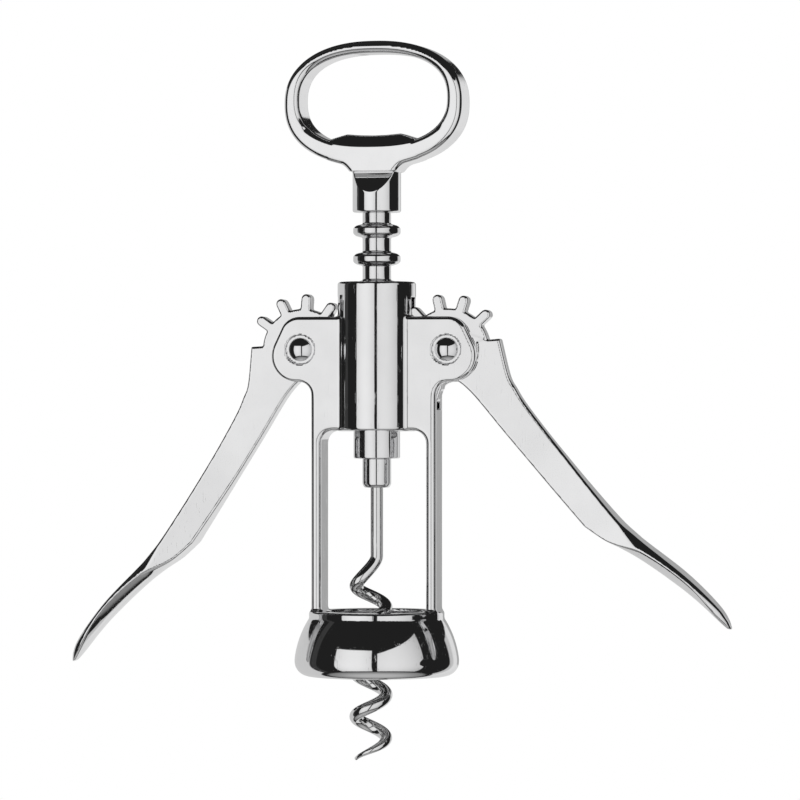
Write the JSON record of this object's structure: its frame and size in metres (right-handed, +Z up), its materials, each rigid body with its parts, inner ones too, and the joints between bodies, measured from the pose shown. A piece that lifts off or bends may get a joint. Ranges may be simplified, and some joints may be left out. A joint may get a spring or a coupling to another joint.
{
  "type": "lever corkscrew",
  "caption": "Chromed lever corkscrew with geared side levers, a ring-toothed spindle, a wire worm, a bell foot and a cap-lifter ring handle.",
  "frame": {"origin": "centre of the bell's bottom plane, on the spindle's axis", "axes": "+Z up the spindle's axis to the handle, X across the two levers, -Y to the front"},
  "size_m": [0.1691, 0.041, 0.1795],
  "materials": {
    "frame_chrome": "bright chrome plating on a die casting, mirror-like with faint orange peel",
    "lever_chrome": "bright chrome plating on a die casting, flat faces lightly polished",
    "rivet_chrome": "bright plated dome",
    "spindle_chrome": "bright chrome, a little duller where the parts rub",
    "handle_chrome": "bright chrome plating, polished by handling",
    "worm_wire": "plated steel wire with light drawing marks"
  },
  "bodies": {
    "frame": {"frame": "frame_chrome", "pivot_rivet_left": "rivet_chrome", "pivot_rivet_right": "rivet_chrome", "rivet_cap_left": "rivet_chrome", "rivet_cap_right": "rivet_chrome"},
    "collar": {"guide_collar": "spindle_chrome"},
    "spindle": {"rack_spindle": "spindle_chrome", "handle": "handle_chrome", "ferrule": "spindle_chrome", "worm": "worm_wire"},
    "left_lever": {"lever_left": "lever_chrome"},
    "right_lever": {"lever_right": "lever_chrome"}
  },
  "joints": [
    {"name": "rack_slide", "type": "slide", "parent": "frame", "child": "collar", "axis": [0, 0, 1], "range_m": [-0.027, 0.0069]},
    {"name": "handle_spin", "type": "hinge", "parent": "collar", "child": "spindle", "pos_m": [0, 0, 0.06], "axis": [0, 0, 1], "continuous": true},
    {"name": "left_lever_pivot", "type": "hinge", "parent": "frame", "child": "left_lever", "pos_m": [-0.0185, 0, 0.0815], "axis": [0, 1, 0], "range_deg": [-29.6, 115.5]},
    {"name": "right_lever_pivot", "type": "hinge", "parent": "frame", "child": "right_lever", "pos_m": [0.0185, 0, 0.0815], "axis": [0, 1, 0], "range_deg": [-115.5, 29.6]}
  ],
  "couplings": [
    {"joint": "left_lever_pivot", "follows": "rack_slide", "rad_per_m": -74.48},
    {"joint": "right_lever_pivot", "follows": "rack_slide", "rad_per_m": 74.48}
  ]
}
